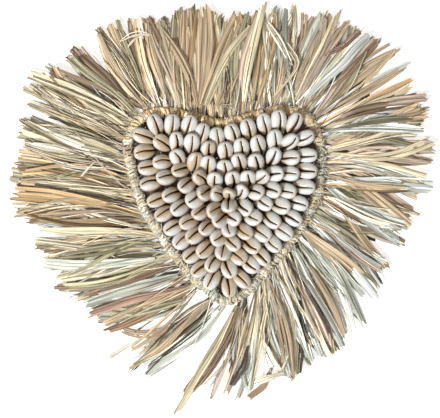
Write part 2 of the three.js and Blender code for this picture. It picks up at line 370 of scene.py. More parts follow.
# Its two layers of turns: how many turns, their distance from the core's middle, their width, how many turns
# they slant by, and how far they stray.
WRAP_LAYERS = [
    (190, CORE_RADIUS + 0.15 * MM, 2.9 * MM, 0.9, 0.3),
    (95, CORE_RADIUS + 0.7 * MM, 1.45 * MM, -1.8, 1.2),
]
WRAP_THICKNESS = 1.2 * MM
WRAP_POINTS = 6
STEPS_PER_TURN = 14
RIM_KNOTS = 74
RIM_SEED = 11
# The share of the border on either side of the cleft that is golden, and over how much of it that fades.
GOLDEN_END = 0.13
GOLDEN_FADE = 0.06
# The golden turns are made lighter: painted light that offsets the shade the shells cast on the top of the
# border.
GOLDEN_PAINTED_LIGHT = [1.35, 1.3, 1.18, 1]
FLOOR_CLEARANCE = 0.2 * MM
FRAYS = 1500
FRAY_RINGS = 5
FRAY_POINTS = 3
# In millimetres: a fray's length, half its width, and how high it may be.
FRAY_LENGTH = (1.5, 5.5)
FRAY_HALF = (0.2, 0.42)
FRAY_HEIGHTS = (1.5, 9.5)


def raffia_colour(hex_code):
    """A colour from its hex code, made linear, with full alpha."""
    shares = np.array([int(hex_code[i:i + 2], 16) for i in (0, 2, 4)]) / 255
    return np.append(np.where(shares < 0.04, shares / 12.92, ((shares + 0.055) / 1.055) ** 2.4), 1)


# Umber is far darker than any of the raffia: it is painted shade, on the edges of strips and turns, on the
# tops of the lowest strips, and as dark strands laid among the blades where the fringe lies in deep shade.
RAFFIA = {
    "straw": raffia_colour("d3c6a6"), "tan": raffia_colour("c1aa89"), "pink": raffia_colour("cab5a1"),
    "olive": raffia_colour("9c9678"), "sage": raffia_colour("b8bbac"), "mint": raffia_colour("e1e5de"),
    "brown": raffia_colour("8a7359"), "cream": raffia_colour("e8dfca"), "gold": raffia_colour("c5a67a"),
    "umber": raffia_colour("3f362d"), "rust": raffia_colour("9f8270"),
}


def pick_colours(names, count, chance, spread=0.24):
    """Colours taken at random from a list of names, each made a little lighter or darker."""
    palette = np.array([RAFFIA[name] for name in names.split()])
    colours = palette[chance.integers(len(palette), size=count)]
    colours[:, :3] *= np.exp(chance.normal(0, spread, (count, 1)))
    return colours


def raffia_finish():
    """Dry raffia: each strip's own colour, with fine light and dark lines along it, satin, and painted shade
    darkening its edges, where strips and turns lie against each other.
    """
    finish = Finish("dry raffia")
    grain = finish.mark("grain", "Vector")
    lines = finish.noise(grain, 0.9, 1)
    bands = finish.noise(grain, 0.3, 1)
    light = finish.range(lines, 0.38, 0.62, 0.7, 1.24) * finish.range(bands, 0.35, 0.65, 0.86, 1.22)
    colour = finish.mix(1.0, finish.mark("strand_colour", "Color"), light, "MULTIPLY")
    # Painted shade: the edges are darkened towards umber, where strips and turns lie against each other.
    edge = finish.mark("edge") ** 4.0
    colour = finish.mix(edge * 0.62, colour, tuple(RAFFIA["umber"]))
    roughness = finish.range(lines, 0.3, 0.7, 0.42, 0.62)
    return finish.surface(
        Base_Color=colour, Roughness=roughness, Normal=finish.bump(lines, 0.6, 0.3 * MM))


def round_the_core(turns, radius, chance, slant, wander):
    """A strand wound round the core: at each step the rim's place, moved on by slant as it passes over the
    top, plus radius times (cos, sin) of the turn on the outward and upward directions. The radius swells
    by |sin(pi s n)| ^ 0.6 at the n knots, where s is the share of the border."""
    steps = STEPS_PER_TURN
    count = turns * steps
    step = np.arange(count)
    turn = 2 * math.pi * step / steps
    loose = np.repeat(chance.normal(0, 1, (turns, 2)), steps, axis=0)
    kernel = np.ones(steps) / steps
    loose = np.stack([np.convolve(loose[:, k], kernel, mode="same") for k in (0, 1)], axis=-1)
    pitch = 1 / turns
    share = step / count + pitch * (slant * np.sin(turn) / 2 + wander * loose[:, 0])
    out = at_height(outward(rim_loop, share), 0)
    along = np.cross(out, UP)
    radial = np.cos(turn)[:, None] * out + np.sin(turn)[:, None] * UP
    knot = np.abs(np.sin(math.pi * share * RIM_KNOTS)) ** 0.6
    reach = radius * (0.93 + 0.14 * knot + 0.07 * loose[:, 1])
    centre = at_height(on_loop(rim_loop, share), RIM_HEIGHT) + reach[:, None] * radial
    centre[:, 2] = np.maximum(centre[:, 2], WRAP_THICKNESS / 2 + FLOOR_CLEARANCE)
    return centre, along, radial, step // steps


def rim_colours(shares, chance):
    """Golden near the cleft and over the lobes, the gold painted lighter as painted light, then sage and
    straw down both sides.
    """
    count = len(shares)
    gold = pick_colours("gold straw gold straw", count, chance, 0.16) * GOLDEN_PAINTED_LIGHT
    pale = pick_colours("sage straw cream sage straw tan", count, chance, 0.14)
    from_cleft = np.minimum(shares, 1 - shares)
    share = (from_cleft - GOLDEN_END) / GOLDEN_FADE + chance.normal(0, 0.25, count)
    share = np.clip(share, 0, 1)[:, None]
    return gold * (1 - share) + pale * share


def ring_angles(points):
    """The angles of this many points, evenly round a ring."""
    return np.arange(points) / points * 2 * math.pi


def ring_places(angles, aside, above):
    """Places round a ring: aside times the cosine of each angle plus above times its sine."""
    return np.cos(angles)[:, None] * aside[..., None, :] + np.sin(angles)[:, None] * above[..., None, :]


def rim_frays(chance):
    """Short ends of fibre that stand out of the border. Each goes straight on by t and bends over by t^2,
    where t is from 0 to 1. They are half as long at the cleft as down the sides."""
    share = chance.random(FRAYS)
    side = np.minimum(np.minimum(share, 1 - share) * 6, 1)[:, None]
    t = np.linspace(0, 1, FRAY_RINGS)[None, :, None]
    turn = chance.uniform(0.15, 0.85, FRAYS)[:, None] * math.pi
    out = at_height(outward(rim_loop, share), 0)
    radial = np.cos(turn) * out + np.sin(turn) * UP
    ahead = unit(radial * 0.6 + chance.normal(0, 0.8, (FRAYS, 3)) * [1, 1, 0.3])
    root = at_height(on_loop(rim_loop, share), RIM_HEIGHT) + (CORE_RADIUS + 0.4 * MM) * radial
    length = chance.uniform(*FRAY_LENGTH, (FRAYS, 1, 1)) * (0.5 + 0.5 * side[..., None]) * MM
    bend = chance.normal(0, 0.35, (FRAYS, 1, 3)) * [1, 1, 0.4]
    path = root[:, None] + length * (t * ahead[:, None] + t ** 2 * bend)
    path[..., 2] = np.clip(path[..., 2], FRAY_HEIGHTS[0] * MM, FRAY_HEIGHTS[1] * MM)
    aside = unit(np.cross(ahead, chance.normal(0, 1, (FRAYS, 3))))
    above = np.cross(ahead, aside)
    half = chance.uniform(*FRAY_HALF, (FRAYS, 1, 1, 1)) * MM * (1 - 0.6 * t[..., None])
    ring = ring_places(ring_angles(FRAY_POINTS), aside[:, None], above[:, None])
    return path[:, :, None] + half * ring, {
        "strand_colour": pick_colours("cream mint straw cream", FRAYS, chance)[:, None, None],
        "grain": np.zeros((1, 1, 1, 3)), "edge": np.zeros((1, 1, 1))}


def wound_rim():
    """The border as families: its two layers of turns, each a flat oval carried round and round the core,
    its frayed ends, and the core, a circle carried along the rim."""
    chance = np.random.default_rng(RIM_SEED)
    families = []
    angles = ring_angles(WRAP_POINTS)
    for turns, radius, width, slant, wander in WRAP_LAYERS:
        centre, along, radial, number = round_the_core(turns, radius, chance, slant, wander)
        half_width = width * (1 + 0.2 * chance.normal(0, 1, turns))[number] / 2
        ring = ring_places(angles, half_width[:, None] * along, WRAP_THICKNESS / 2 * radial)
        colours = rim_colours(np.arange(turns) / turns, chance)[number]
        length = np.arange(len(centre)) * 2 * math.pi * radius / STEPS_PER_TURN / MM
        grain = fibre_grain(np.cos(angles) * 2.2, length[:, None] * 0.12, number[:, None] * 5.3)
        # Painted shade: each turn is darker at its edges, where it meets the next.
        families.append(((centre[:, None] + ring)[None], {
            "strand_colour": colours[None, :, None], "grain": grain[None],
            "edge": np.abs(np.cos(angles))[None, None] * 0.9}))
    families.append(rim_frays(chance))

    shares = np.arange(CORE_STEPS + 1) / CORE_STEPS
    out = at_height(outward(rim_loop, shares), 0)
    core_ring = CORE_RADIUS * ring_places(ring_angles(CORE_POINTS), out, UP)
    core = at_height(on_loop(rim_loop, shares), RIM_HEIGHT)[:, None] + core_ring[:, ::-1]
    # Painted shade: the core is a dark brown, half the raffia's brown, for the shade between the turns.
    families.append((core[None], {
        "strand_colour": (RAFFIA["brown"] * 0.5)[None, None, None], "grain": core[None] / MM,
        "edge": np.zeros((1, 1, 1))}))
    return families


raffia = raffia_finish()
make_piece("wound_rim", wound_rim(), raffia, ["rim_cord"])


# The fringe: strips of dry raffia palm leaf, folded over the border in bunches and cut to length. Each blade
# is a few narrow strips that run together, and fine fibres that have split off lie among them.
BLADE_RINGS = 12
BLADE_FOIL = 0.28 * MM
BLADES_PER_BUNCH = 6
STRIPS_PER_BLADE = 3
# How far bunches turn aside, and how far a blade's root and tip stray along the border from its bunch's, as
# shares of the border. One blade in five strays further, and one in six is cut short by up to 35%.
BUNCH_TURN = 0.008
ROOT_STRAY = 0.0022
TIP_STRAY = 0.0072
ASTRAY_SHARE, ASTRAY_STRAY = 0.2, 0.024
SHORT_SHARE, SHORT_BY = 0.16, 0.35
BLADE_BOW = 0.045
BLADE_SWAY = 0.014
# In millimetres: how high bunches, roots and tips lie, and the narrowest and the widest blade.
BUNCH_HEIGHTS = (2.0, 7.5)
ROOT_HEIGHTS = (1.0, 3.4)
TIP_HEIGHTS = (0.7, 6.0)
BLADE_WIDTHS = (2.2, 11)
# Strips that lie singly among the blades: how many for each blade, how high their roots, middles and tips
# lie in millimetres, how far roots and tips stray, how much of the way they reach, and their bow and sway.
SINGLE_RINGS = 8
FIBRES = {"per_blade": 0.8, "heights": [(2, 4), (3, 10.5), (1, 8)], "root": 0.003, "tip": 0.011,
          "reach": (0.5, 1.02), "bow": 0.05, "sway": 0.03}
FIBRE_FOIL = 0.22 * MM
# The lowest strips are painted dark on top, umber and brown, as painted shade under the blades.
LOWEST = {"per_blade": 1.8, "heights": [(0.8, 2.2), (0.5, 1.6), (0.4, 1.0)], "root": 0.004, "tip": 0.008,
          "reach": (0.2, 0.82), "bow": 0.03, "sway": 0.01}
LOWEST_WIDTHS = (1.6, 3.6)
UNDERSIDE_LIGHT = [1.3, 1.3, 1.3, 1]
FRINGE_SEED = 100
# Clockwise from the cleft: the share of the border where a stretch ends, its blades for each millimetre of
# border, their mean width in millimetres, how far its bunches turn aside, and its colours.
# Umber in a stretch's colours is painted shade: dark strands where the fringe lies in deep shade.
FRINGE_STRETCHES = [
    (0.07, 0.68, 6.8, 0.9, "straw tan gold olive straw pink straw tan"),
    (0.15, 0.76, 6.6, 0.9, "straw tan straw pink straw sage cream tan"),
    (0.24, 0.72, 6.6, 1.0, "tan straw pink straw tan mint olive brown"),
    (0.35, 0.72, 6.4, 1.0, "pink sage cream mint olive tan mint brown"),
    (0.46, 0.76, 5.6, 1.0, "mint sage mint tan straw umber cream sage"),
    (0.56, 0.25, 4.8, 1.0, "cream straw brown tan sage umber mint olive"),
    (0.66, 0.58, 5.6, 1.1, "brown straw olive sage olive tan pink mint"),
    (0.77, 0.80, 6.6, 0.9, "tan gold olive olive brown tan gold straw"),
    (0.88, 0.90, 6.0, 0.9, "tan olive pink straw brown straw cream tan"),
    (1.00, 0.68, 6.8, 1.0, "straw olive tan straw tan olive pink brown"),
]
# Where bunches part and the floor shows: the share of the border at the middle of a gap, and half its width.
FRINGE_GAPS = np.array([
    [0.127, 0.003], [0.169, 0.003], [0.190, 0.005], [0.233, 0.006], [0.259, 0.009], [0.288, 0.003],
    [0.321, 0.003], [0.357, 0.004], [0.427, 0.006], [0.459, 0.005], [0.477, 0.004], [0.504, 0.005],
    [0.521, 0.005], [0.564, 0.005], [0.590, 0.004], [0.638, 0.004], [0.680, 0.003], [0.718, 0.003],
    [0.805, 0.004], [0.864, 0.004], [0.908, 0.004], [0.945, 0.004],
])
# Strands that stand out in the picture: colour, width and height in millimetres, and where each one runs, in
# pixels of the picture, from its root to its tip. The umber ones are painted shade, dark strands laid where
# the fringe lies in deep shade.
SEEN_STRANDS = [
    ("brown", 10, 4, [[238, 306], [229, 336], [205, 372], [186, 394]]),
    ("olive", 7, 4.5, [[236, 306], [222, 334], [203, 366], [184, 398]]),
    ("brown", 2.5, 6.5, [[240, 308], [228, 340], [206, 374], [194, 390]]),
    ("straw", 6, 5, [[233, 312], [217, 345], [198, 375], [177, 412]]),
    ("pink", 8, 5, [[262, 300], [252, 330], [240, 360], [226, 394]]),
    ("tan", 4, 6, [[264, 290], [255, 320], [241, 352], [232, 378]]),
    ("umber", 5, 7, [[248, 346], [244, 366], [232, 386]]),
    ("sage", 6, 4, [[266, 300], [257, 335], [250, 365], [238, 398]]),
    ("straw", 6, 7, [[270, 290], [263, 325], [257, 355], [250, 388]]),
    ("tan", 8, 7, [[275, 290], [283, 330], [288, 356], [282, 374]]),
    ("cream", 4, 9, [[263, 341], [273, 360], [281, 373], [290, 352]]),
    ("cream", 6, 7, [[284, 373], [268, 378], [254, 383]]),
    ("brown", 7, 3, [[272, 368], [264, 388], [249, 398]]),
    ("brown", 6, 4, [[270, 322], [270, 345], [278, 366]]),
    ("olive", 7, 5, [[290, 290], [294, 330], [297, 352], [298, 376]]),
    ("tan", 6, 6, [[283, 288], [290, 330], [293, 378]]),
    ("umber", 5, 4, [[297, 325], [302, 352], [300, 374]]),
    ("straw", 1.6, 6, [[296, 374], [305, 379], [313, 385]]),
    ("sage", 7, 5, [[296, 288], [297, 325], [294, 358]]),
    ("pink", 10, 6, [[300, 280], [313, 312], [331, 350]]),
    ("umber", 7, 6, [[300, 300], [304, 333], [322, 353]]),
    ("brown", 6, 4, [[308, 270], [322, 300], [343, 338]]),
    ("sage", 8, 4, [[225, 305], [205, 330], [175, 355], [146, 376]]),
    ("mint", 6, 5, [[218, 310], [200, 331], [170, 350], [142, 366]]),
    ("sage", 8, 4, [[214, 308], [196, 332], [172, 352], [148, 372]]),
    ("mint", 4, 5, [[216, 326], [198, 343], [174, 358], [154, 370]]),
    ("umber", 2, 6, [[210, 318], [190, 334], [165, 354], [146, 374]]),
    ("olive", 6, 4, [[212, 304], [190, 330], [166, 346], [150, 360]]),
    ("umber", 2.5, 7, [[220, 305], [200, 326], [172, 348], [150, 364]]),
    ("tan", 6, 7, [[212, 301], [190, 320], [163, 349], [129, 369]]),
    ("umber", 4, 6.5, [[213, 303], [199, 320], [180, 336], [158, 352]]),
    ("brown", 5, 5, [[200, 310], [180, 323], [158, 333], [136, 335], [123, 330]]),
    ("tan", 6, 8, [[196, 291], [175, 314], [150, 337], [131, 350]]),
    ("olive", 9, 5, [[186, 299], [160, 306], [130, 311], [109, 309]]),
    ("sage", 5, 3, [[188, 304], [160, 318], [135, 323], [101, 321]]),
    ("mint", 6, 3, [[172, 339], [148, 349], [131, 350]]),
    ("cream", 4, 3, [[150, 334], [127, 347], [110, 358]]),
    ("rust", 7, 6, [[188, 286], [160, 293], [130, 299], [90, 313]]),
    ("sage", 11, 5, [[178, 276], [140, 288], [105, 298], [86, 304]]),
    ("pink", 4, 3, [[234, 345], [223, 370], [211, 400]]),
    ("sage", 2.5, 3, [[241, 338], [225, 365], [202, 386]]),
    ("cream", 3, 3, [[236, 350], [226, 380], [219, 405]]),
    ("tan", 9, 9, [[198, 107], [192, 80], [183, 60], [172, 43], [157, 23]]),
    ("tan", 12, 8, [[199, 104], [203, 72], [205, 42], [205, 9]]),
    ("tan", 11, 8.5, [[202, 105], [214, 74], [226, 44], [239, 16]]),
    ("straw", 11, 9, [[206, 106], [220, 72], [236, 46], [252, 27]]),
    ("tan", 9, 7, [[224, 106], [234, 76], [249, 40]]),
    ("tan", 8, 6.5, [[217, 106], [228, 80], [241, 58]]),
    ("tan", 11, 7, [[187, 103], [183, 60], [184, 11]]),
    ("gold", 8, 7, [[191, 102], [190, 60], [197, 12]]),
    ("gold", 9, 7, [[208, 104], [212, 62], [218, 17]]),
    ("gold", 8, 6, [[150, 104], [145, 62], [151, 19]]),
    ("olive", 6, 4, [[157, 104], [154, 70], [158, 42], [168, 22]]),
    ("olive", 6, 6, [[161, 105], [165, 75], [172, 48], [177, 11]]),
    ("tan", 7, 6, [[145, 110], [130, 76], [112, 45], [98, 28]]),
    ("olive", 5, 7, [[147, 104], [137, 70], [125, 45], [117, 18]]),
    ("brown", 6, 6, [[150, 106], [141, 76], [135, 48], [128, 16]]),
    ("olive", 6, 5, [[148, 106], [138, 84], [133, 60], [131, 36]]),
    ("cream", 2, 9.5, [[120, 42], [131, 36], [144, 34], [153, 37]]),
    ("cream", 1.6, 9.5, [[141, 36], [134, 40], [128, 47]]),
    ("straw", 5, 8, [[272, 102], [269, 70], [266, 45], [263, 11]]),
    ("straw", 4, 9.5, [[273, 98], [290, 78], [299, 64], [290, 50], [279, 35]]),
    ("cream", 5, 9, [[292, 66], [280, 42], [266, 20]]),
    ("mint", 12, 9, [[306, 98], [322, 80], [342, 62], [358, 43], [369, 35]]),
    ("tan", 11, 6, [[290, 101], [302, 76], [318, 46], [334, 18]]),
    ("straw", 8, 7.5, [[296, 100], [310, 72], [327, 42], [338, 12]]),
    ("rust", 5, 8.5, [[324, 56], [341, 49], [360, 31]]),
    ("brown", 5, 7, [[312, 102], [345, 76], [362, 58], [377, 43]]),
    ("umber", 5, 6, [[256, 101], [258, 70], [262, 27]]),
    ("olive", 6, 6.5, [[253, 102], [257, 66], [260, 30]]),
    ("umber", 6, 6, [[156, 103], [156, 80], [160, 52]]),
    ("umber", 5, 5.5, [[168, 105], [168, 84], [171, 62]]),
    ("tan", 6, 6, [[228, 106], [238, 80], [249, 55], [256, 24]]),
    ("straw", 1.5, 8.5, [[213, 112], [220, 106], [229, 105], [234, 113]]),
    ("gold", 9, 8, [[142, 216], [97, 203], [50, 194], [15, 192]]),
    # A painted highlight: this pale strand lies where light catches the gold blade above it.
    ("cream", 4, 8, [[142, 228], [110, 220], [80, 210], [46, 198]]),
    ("straw", 1.4, 9.5, [[126, 189], [110, 173], [97, 160], [85, 143], [74, 130]]),
    ("cream", 1.2, 9.5, [[97, 160], [89, 168], [81, 177]]),
    ("pink", 7, 6, [[128, 160], [85, 152], [50, 148], [21, 144]]),
    ("mint", 5, 7, [[146, 240], [105, 233], [72, 229], [42, 224]]),
    ("umber", 5, 3, [[148, 236], [105, 234], [75, 234], [40, 230]]),
    ("sage", 10, 7, [[155, 259], [115, 263], [80, 266], [45, 263]]),
    ("straw", 6, 6, [[152, 248], [95, 249], [33, 241]]),
    ("tan", 9, 7, [[314, 120], [345, 104], [375, 87], [404, 68]]),
    ("gold", 6, 6, [[316, 126], [360, 104], [412, 80]]),
    ("brown", 4, 6, [[318, 129], [365, 108], [417, 95]]),
    ("pink", 7, 8, [[318, 130], [355, 110], [395, 101], [426, 98]]),
    ("olive", 6, 7, [[322, 129], [365, 134], [400, 142], [433, 149]]),
    ("mint", 6, 8, [[325, 158], [355, 163], [385, 171], [414, 179]]),
    ("pink", 7, 6, [[325, 140], [360, 152], [400, 160], [430, 163]]),
    ("tan", 7, 6, [[325, 166], [352, 169], [385, 181], [418, 197]]),
    ("tan", 9, 7, [[326, 166], [358, 186], [385, 208], [408, 226]]),
    ("mint", 7, 7, [[323, 180], [348, 203], [375, 228], [401, 246]]),
    ("brown", 6, 4, [[322, 190], [342, 213], [365, 243], [382, 263]]),
    ("mint", 9, 6, [[318, 178], [345, 200], [375, 223], [401, 238]]),
    ("tan", 7, 6, [[316, 196], [342, 208], [370, 247], [389, 269]]),
    ("olive", 8, 6, [[309, 205], [335, 223], [355, 257], [378, 287]]),
    ("mint", 9, 7, [[305, 214], [330, 238], [352, 264], [377, 297]]),
    ("sage", 8, 6, [[297, 226], [320, 247], [342, 276], [363, 322]]),
    ("umber", 3, 7, [[312, 205], [344, 232], [368, 262], [382, 283]]),
]
SEEN_FROM_BORDER = 8 * MM
SHARE_STEPS = 500


def strips(path, width, fold, roll, cut, colours, chance, foil):
    """Thin strips folded lengthwise along paths, which are by strip, ring and axis. A ring has four points:
    an edge, the crease raised by fold, the other edge and the crease from below. It is rolled about the way
    it runs, and the tip's points are moved along by cut times their distance across."""
    count, rings = path.shape[:2]
    ahead = unit(np.gradient(path, axis=1))
    aside = unit(np.cross(ahead, UP))
    above = np.cross(aside, ahead)
    cosine, sine = np.cos(roll)[..., None], np.sin(roll)[..., None]
    aside, above = aside * cosine + above * sine, above * cosine - aside * sine
    crease = chance.uniform(-0.4, 0.4, (count, 1))
    edge = np.ones((count, 1))
    across = np.concatenate([-edge, crease, edge, crease], axis=1)
    level = np.concatenate([0 * edge, fold[:, None], 0 * edge, fold[:, None]], axis=1)
    half = width[:, :, None, None] / 2
    lowered = foil * np.array([0, 0, 0, 1])[:, None]
    points = (path[:, :, None] + across[:, None, :, None] * half * aside[:, :, None]
              + (level[:, None, :, None] * half - lowered) * above[:, :, None])
    near_tip = np.clip((np.linspace(0, 1, rings) - 0.86) / 0.14, 0, 1)[None, :, None, None]
    points += near_tip * cut[:, None, None, None] * across[:, None, :, None] * half * ahead[:, :, None]
    sunk = FLOOR_CLEARANCE - points[..., 2].min(axis=2, keepdims=True)
    points[..., 2] += np.maximum(sunk, 0)
    length = np.cumsum(np.linalg.norm(np.diff(path, axis=1, prepend=path[:, :1]), axis=-1), axis=1) / MM
    grain = fibre_grain(across[:, None, :] * half[..., 0] / MM * 1.3, length[:, :, None] * 0.04,
                        np.arange(count)[:, None, None] * 7.7)
    return points, {"strand_colour": colours[:, None, None], "grain": grain,
                    "edge": np.abs(across)[:, None] * np.ones((1, rings, 1))}


def swept(share_from, share_to, reach, heights, bow, sway, rings, chance):
    """Paths from the border to the fringe's edge: straight from root to tip by u, raised through three
    heights, plus sideways bow times sin(pi u) and sway times u sin(5 u + phase), as shares of its length."""
    u = np.linspace(0, 1, rings)
    root = on_loop(rim_loop, share_from) + 0.6 * RIM_RADIUS * outward(rim_loop, share_from)
    run = (on_loop(tip_loop, share_to, rim_loop) - root) * reach[:, None]
    across = np.stack([run[:, 1], -run[:, 0]], axis=-1)
    phase = chance.uniform(0, 2 * math.pi, (len(root), 1))
    shift = bow[:, None] * np.sin(math.pi * u) + sway[:, None] * u * np.sin(5 * u + phase)
    return lifted(root[:, None] + run[:, None] * u[:, None] + across[:, None] * shift[..., None], heights)


def lifted(flat, heights):
    """Flat paths raised through three heights: at the root, at 40% of the way, and at the tip."""
    u = np.linspace(0, 1, flat.shape[1])
    low, high, end = heights.T[:, :, None]
    rise = np.clip(u / 0.4, 0, 1)
    rise = rise * rise * (3 - 2 * rise)
    return at_height(flat, low + (high - low) * rise + (end - high) * np.clip((u - 0.4) / 0.6, 0, 1) ** 1.5)


def split_blades(path, widest, roll, colours, chance):
    """Blades as narrow strips side by side. A blade widens from 32% at its root to all at 60% of its way,
    and closes again by up to 60% at its tip. Its strips stray slightly in way, height, reach and shade."""
    count, rings = path.shape[:2]
    u = np.linspace(0, 1, rings)
    swell = 0.32 + 0.68 * np.clip(u / 0.6, 0, 1) ** 0.8
    swell = swell * (1 - chance.uniform(0, 0.6, (count, 1)) * np.clip((u - 0.6) / 0.4, 0, 1) ** 1.5)
    aside = unit(np.cross(np.gradient(path, axis=1), UP))

    owner = np.repeat(np.arange(count), STRIPS_PER_BLADE)
    total = len(owner)
    lane = np.tile(np.arange(STRIPS_PER_BLADE) - (STRIPS_PER_BLADE - 1) / 2, count)
    lane = (lane + chance.normal(0, 0.15, total)) / STRIPS_PER_BLADE
    spread = (lane * widest[owner])[:, None] * swell[owner]
    level = spread * np.sin(roll[owner])[:, None] + chance.normal(0, 0.4, (total, 1)) * MM
    stray = chance.normal(0, 0.7, (total, 1)) * MM * np.sin(math.pi * u)
    strip = path[owner] + aside[owner] * (spread * np.cos(roll[owner])[:, None] + stray)[..., None]
    strip[..., 2] = np.maximum(strip[..., 2] + level, 0.5 * MM)
    strip[..., :2] += (strip[..., :2] - strip[:, :1, :2]) * chance.normal(0, 0.018, (total, 1, 1))
    width = widest[owner, None] / STRIPS_PER_BLADE * swell[owner] * chance.uniform(0.95, 1.5, (total, 1))
    strip_colours = colours[owner]
    strip_colours[:, :3] *= np.exp(chance.normal(0, 0.16, (total, 1)))
    return strips(strip, width, chance.normal(0, 0.3, total),
                  roll[owner, None] + chance.normal(0, 0.18, (total, 1)) + 0 * u,
                  chance.normal(0, 1.0, total), strip_colours, chance, BLADE_FOIL)


def seen_blades(strands, chance):
    """The strands that stand out, as blades. Each runs straight from place to place, a little rounded."""
    colours, widths, heights, runs = zip(*strands)
    flat = []
    for run in runs:
        places = from_picture(run)
        way = np.concatenate([[0], np.cumsum(np.linalg.norm(np.diff(places, axis=0), axis=1))])
        steps = np.linspace(0, way[-1], BLADE_RINGS)
        line = np.stack([np.interp(steps, way, places[:, axis]) for axis in (0, 1)], axis=-1)
        line[1:-1] = line[1:-1] / 2 + (line[:-2] + line[2:]) / 4
        flat.append(line)
    flat = np.array(flat)
    high = np.array(heights) * MM
    to_border = np.linalg.norm(flat[:, :1] - rim_loop, axis=-1).min(axis=1)
    root = np.where(to_border > SEEN_FROM_BORDER, 0.9 * high, 2.5 * MM)
    path = lifted(flat, np.stack([root, high, 0.6 * high], axis=1))
    colours = np.array([RAFFIA[colour] for colour in colours])
    return split_blades(path, np.array(widths) * MM, chance.normal(0, 0.2, len(flat)), colours, chance)


def parted(shares):
    """Shares moved out of the gaps: one that is d from a gap's middle, with d less than twice the gap's half
    width h, goes to h + d / 2 from it."""
    away = shares[:, None] - FRINGE_GAPS[:, 0]
    half = FRINGE_GAPS[:, 1]
    moved = np.sign(away) * (half + np.abs(away) / 2) - away
    return shares + np.where(np.abs(away) < 2 * half, moved, 0).sum(axis=1)


def bunched_blades(bunch_share, mean_width, turn_aside, colours, chance):
    """The blades of a stretch. Those of a bunch share its turn aside, its height and its reach, and each one
    strays from them a little."""
    bunches = len(bunch_share)
    bunch_turn = chance.normal(0, BUNCH_TURN * turn_aside, bunches)
    bunch_height = chance.uniform(*BUNCH_HEIGHTS, bunches) * MM
    bunch_reach = 0.97 + chance.normal(0, 0.03, bunches)
    owner = np.repeat(np.arange(bunches), BLADES_PER_BUNCH)
    count = len(owner)
    share_from = bunch_share[owner] + chance.normal(0, ROOT_STRAY, count)
    astray = (chance.random(count) < ASTRAY_SHARE) * chance.normal(0, ASTRAY_STRAY, count)
    share_to = parted(bunch_share[owner] + bunch_turn[owner] + astray + chance.normal(0, TIP_STRAY, count))
    shorter = (chance.random(count) < SHORT_SHARE) * chance.uniform(0, SHORT_BY, count)
    reach = bunch_reach[owner] + chance.normal(0, 0.02, count) - shorter
    heights = np.stack([
        chance.uniform(*ROOT_HEIGHTS, count) * MM,
        np.clip(bunch_height[owner] + chance.normal(0, 1.8, count) * MM, 0.8 * MM, 10 * MM),
        chance.uniform(*TIP_HEIGHTS, count) * MM], axis=1)
    path = swept(share_from, share_to, reach, heights, chance.normal(0, BLADE_BOW, count),
                 chance.normal(0, BLADE_SWAY, count), BLADE_RINGS, chance)
    widest = np.clip(mean_width * np.exp(chance.normal(0, 0.38, count)), *BLADE_WIDTHS) * MM
    roll = chance.normal(0, 0.35, count)
    return split_blades(path, widest, roll, pick_colours(colours, count, chance, 0.16), chance)


def single_paths(kind, bunch_share, blades, chance):
    """Paths of strips that lie singly, spread at random over the bunches."""
    count = round(blades * kind["per_blade"])
    share = bunch_share[chance.integers(len(bunch_share), size=count)]
    heights = np.stack([chance.uniform(*limits, count) for limits in kind["heights"]], axis=1) * MM
    share_from = share + chance.normal(0, kind["root"], count)
    share_to = parted(share + chance.normal(0, kind["tip"], count))
    reach = chance.uniform(*kind["reach"], count)
    bow = chance.normal(0, kind["bow"], count)
    return swept(share_from, share_to, reach, heights, bow, chance.normal(0, kind["sway"], count),
                 SINGLE_RINGS, chance)


def fine_fibres(bunch_share, blades, chance):
    """The fibres that have split off, of one width from root to tip."""
    path = single_paths(FIBRES, bunch_share, blades, chance)
    count = len(path)
    width = np.clip(chance.normal(0.8, 0.3, count), 0.4, 1.7)[:, None] * MM * np.ones(SINGLE_RINGS)
    fold = chance.normal(0, 0.5, count)
    roll = chance.normal(0, 0.5, (count, 1)) * np.ones(SINGLE_RINGS)
    cut = chance.normal(0, 1, count)
    colours = pick_colours("cream straw straw mint umber tan cream", count, chance)
    return strips(path, width, fold, roll, cut, colours, chance, FIBRE_FOIL)


def lowest_strips(bunch_share, blades, colours, chance):
    """The short strips lowest down. Their tops are painted umber and brown, painted shade for the blades
    lying over them, but from below they have the blades' colours: the fourth point of each ring is the
    crease from below."""
    path = single_paths(LOWEST, bunch_share, blades, chance)
    count = len(path)
    width = chance.uniform(*LOWEST_WIDTHS, count)[:, None] * MM * np.linspace(0.6, 1, SINGLE_RINGS)
    fold = chance.normal(0, 0.3, count)
    roll = np.zeros((count, SINGLE_RINGS))
    cut = chance.normal(0, 1.5, count)
    # Painted shade: umber and brown for the tops.
    dark = pick_colours("umber umber brown", count, chance)
    points, marks = strips(path, width, fold, roll, cut, dark, chance, BLADE_FOIL)
    by_point = np.repeat(marks["strand_colour"], points.shape[2], axis=2)
    by_point[:, :, 3] = (pick_colours(colours, count, chance) * UNDERSIDE_LIGHT)[:, None]
    return points, {**marks, "strand_colour": by_point}


def fringe_stretch(first, last, density, mean_width, turn_aside, colours, seed):
    """One stretch as families of strips: its blades, its fine fibres, its short lowest strips, and its
    strands that stand out."""
    chance = np.random.default_rng(seed)
    bunches = round((last - first) * RIM_LENGTH / MM * density / BLADES_PER_BUNCH)
    bunch_share = first + (np.arange(bunches) + 0.5) / bunches * (last - first)
    blades = bunches * BLADES_PER_BUNCH
    seen = [strand for strand, share in zip(SEEN_STRANDS, seen_shares) if first <= share < last]
    return [
        bunched_blades(bunch_share, mean_width, turn_aside, colours, chance),
        fine_fibres(bunch_share, blades, chance),
        lowest_strips(bunch_share, blades, colours, chance),
        seen_blades(seen, chance),
    ]


